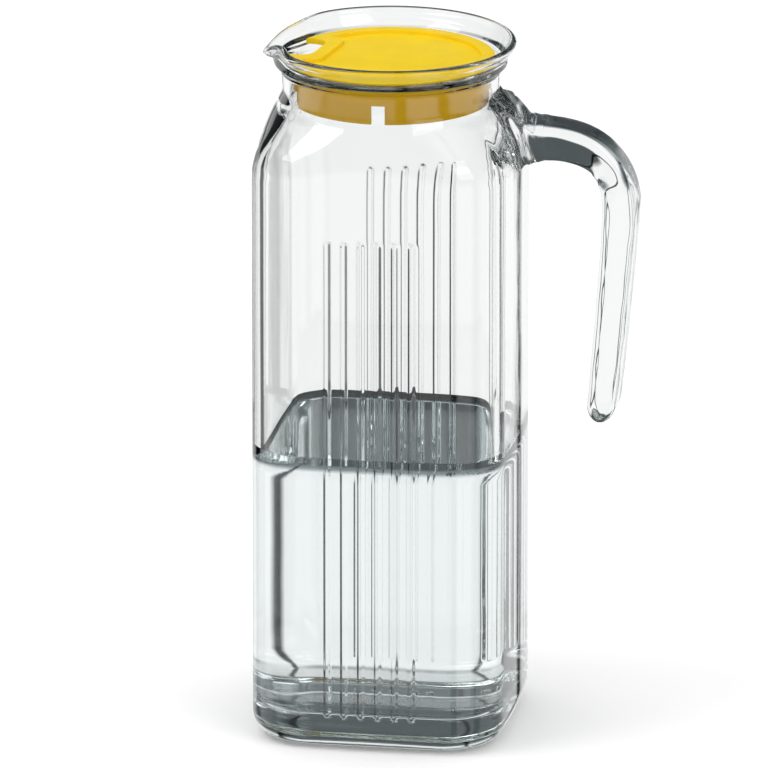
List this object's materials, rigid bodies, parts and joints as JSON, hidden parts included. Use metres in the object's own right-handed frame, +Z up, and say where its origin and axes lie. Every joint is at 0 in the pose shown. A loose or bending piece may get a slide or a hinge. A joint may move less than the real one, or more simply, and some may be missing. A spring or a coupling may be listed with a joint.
{
  "type": "glass jug",
  "caption": "Tall squared glass jug with a pinched pouring lip, a fused open strap handle, fluted faces and a lift-out plastic plug lid with a pouring notch.",
  "frame": {"origin": "centre of the base, on the plane that the jug stands on; the axis is that of the neck and body", "axes": "+Z up along the neck's axis, +X towards the handle, -X towards the pouring lip; the fluted faces look along +Y and -Y"},
  "size_m": [0.1364, 0.0952, 0.254],
  "materials": {
    "jug_glass": "clear fire-polished soda-lime glass",
    "handle_glass": "clear hot-worked glass, slightly uneven",
    "lid_plastic": "moulded yellow plastic, soft gloss"
  },
  "bodies": {
    "jug": {"glass_jug_body": "jug_glass", "glass_handle": "handle_glass"},
    "lid": {"lid": "lid_plastic"}
  },
  "joints": [
    {"name": "lid_lift", "type": "slide", "parent": "jug", "child": "lid", "axis": [0, 0, 1], "range_m": [0, 0.045]}
  ]
}
